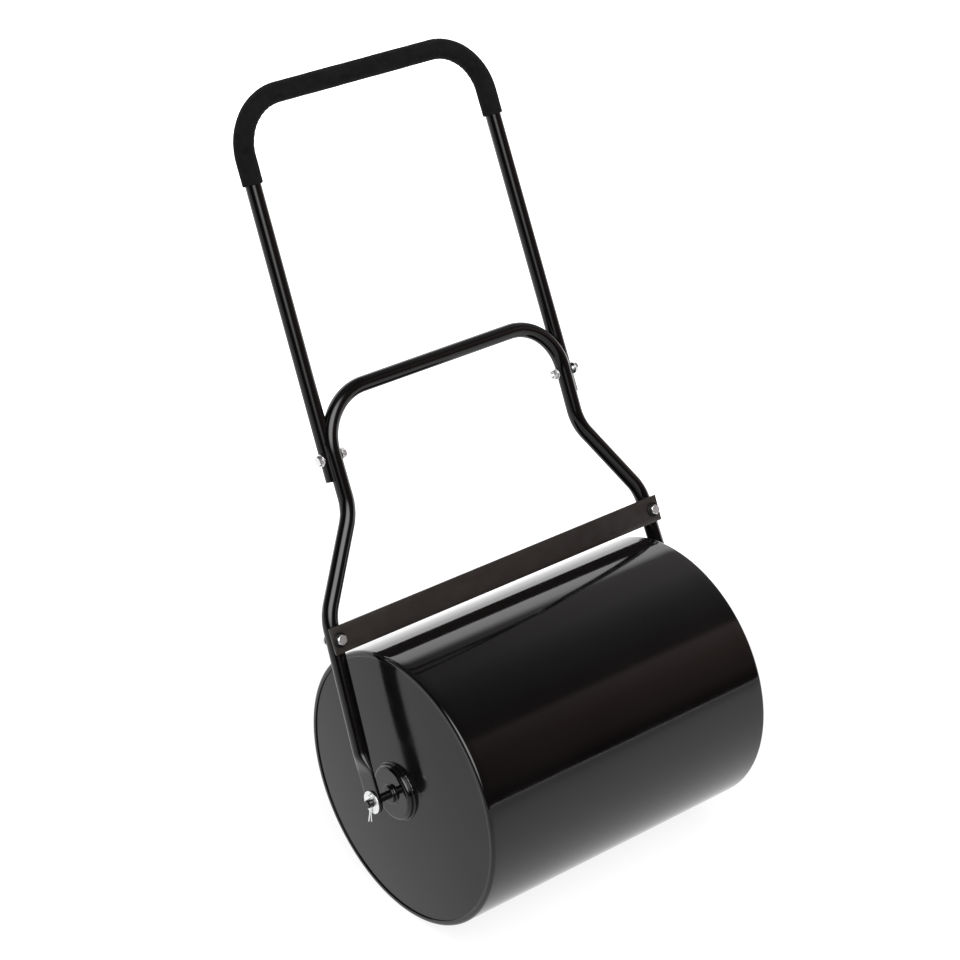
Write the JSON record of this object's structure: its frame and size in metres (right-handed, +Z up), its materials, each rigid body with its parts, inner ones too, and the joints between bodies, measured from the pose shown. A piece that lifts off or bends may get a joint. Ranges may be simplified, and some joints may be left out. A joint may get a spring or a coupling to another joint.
{
  "type": "push lawn roller",
  "caption": "Push lawn roller with a hollow fillable steel drum, a bent tube frame, a bolted U-shaped handle with a foam grip, and a scraper bar across the legs.",
  "frame": {"origin": "on the ground straight below the drum's centre, in the middle of the drum facet that stands on it", "axes": "+X along the axle towards the filler's side, the handle leans back towards +Y, +Z up"},
  "size_m": [0.612, 0.621, 1.0726],
  "materials": {
    "drum_paint": "gloss black",
    "plate_paint": "semi-gloss black",
    "frame_paint": "gloss black",
    "bar_paint": "satin black",
    "foam": "matte foam",
    "plastic": "matte black",
    "seal_rubber": "matte",
    "black_washer": "satin black",
    "zinc": "bright zinc plate"
  },
  "bodies": {
    "frame": {"lower_frame": "frame_paint", "upper_handle": "frame_paint", "foam_grip": "foam", "left_axle_bush": "plastic", "right_axle_bush": "plastic", "left_handle_bolt": "zinc", "left_handle_head_washer": "zinc", "left_handle_nut_washer": "zinc", "left_handle_nut": "zinc", "right_handle_bolt": "zinc", "right_handle_head_washer": "zinc", "right_handle_nut_washer": "zinc", "right_handle_nut": "zinc", "left_scraper_bolt": "zinc", "left_scraper_head_washer": "black_washer", "left_scraper_nut_washer": "zinc", "left_scraper_nut": "zinc", "right_scraper_bolt": "zinc", "right_scraper_head_washer": "black_washer", "right_scraper_nut_washer": "zinc", "right_scraper_nut": "zinc"},
    "drum": {"drum_shell": "drum_paint", "left_end_plate": "plate_paint", "right_end_plate": "plate_paint", "left_hub": "drum_paint", "right_hub": "drum_paint", "axle": "drum_paint", "left_axle_washer": "zinc", "right_axle_washer": "zinc", "left_split_pin": "zinc", "right_split_pin": "zinc", "filler_neck": "drum_paint"},
    "plug": {"filler_plug": "plastic", "filler_seal": "seal_rubber"},
    "scraper": {"scraper_bar": "bar_paint"}
  },
  "joints": [
    {"name": "drum_roll", "type": "hinge", "parent": "frame", "child": "drum", "pos_m": [0, 0, 0.2], "axis": [1, 0, 0], "continuous": true},
    {"name": "scraper_slide", "type": "slide", "parent": "frame", "child": "scraper", "axis": [0, 0.4226, 0.9063], "range_m": [-0.004, 0.006]},
    {"name": "plug_turn", "type": "hinge", "parent": "drum", "child": "plug", "pos_m": [0, 0, 0.34], "axis": [1, 0, 0], "continuous": true}
  ]
}
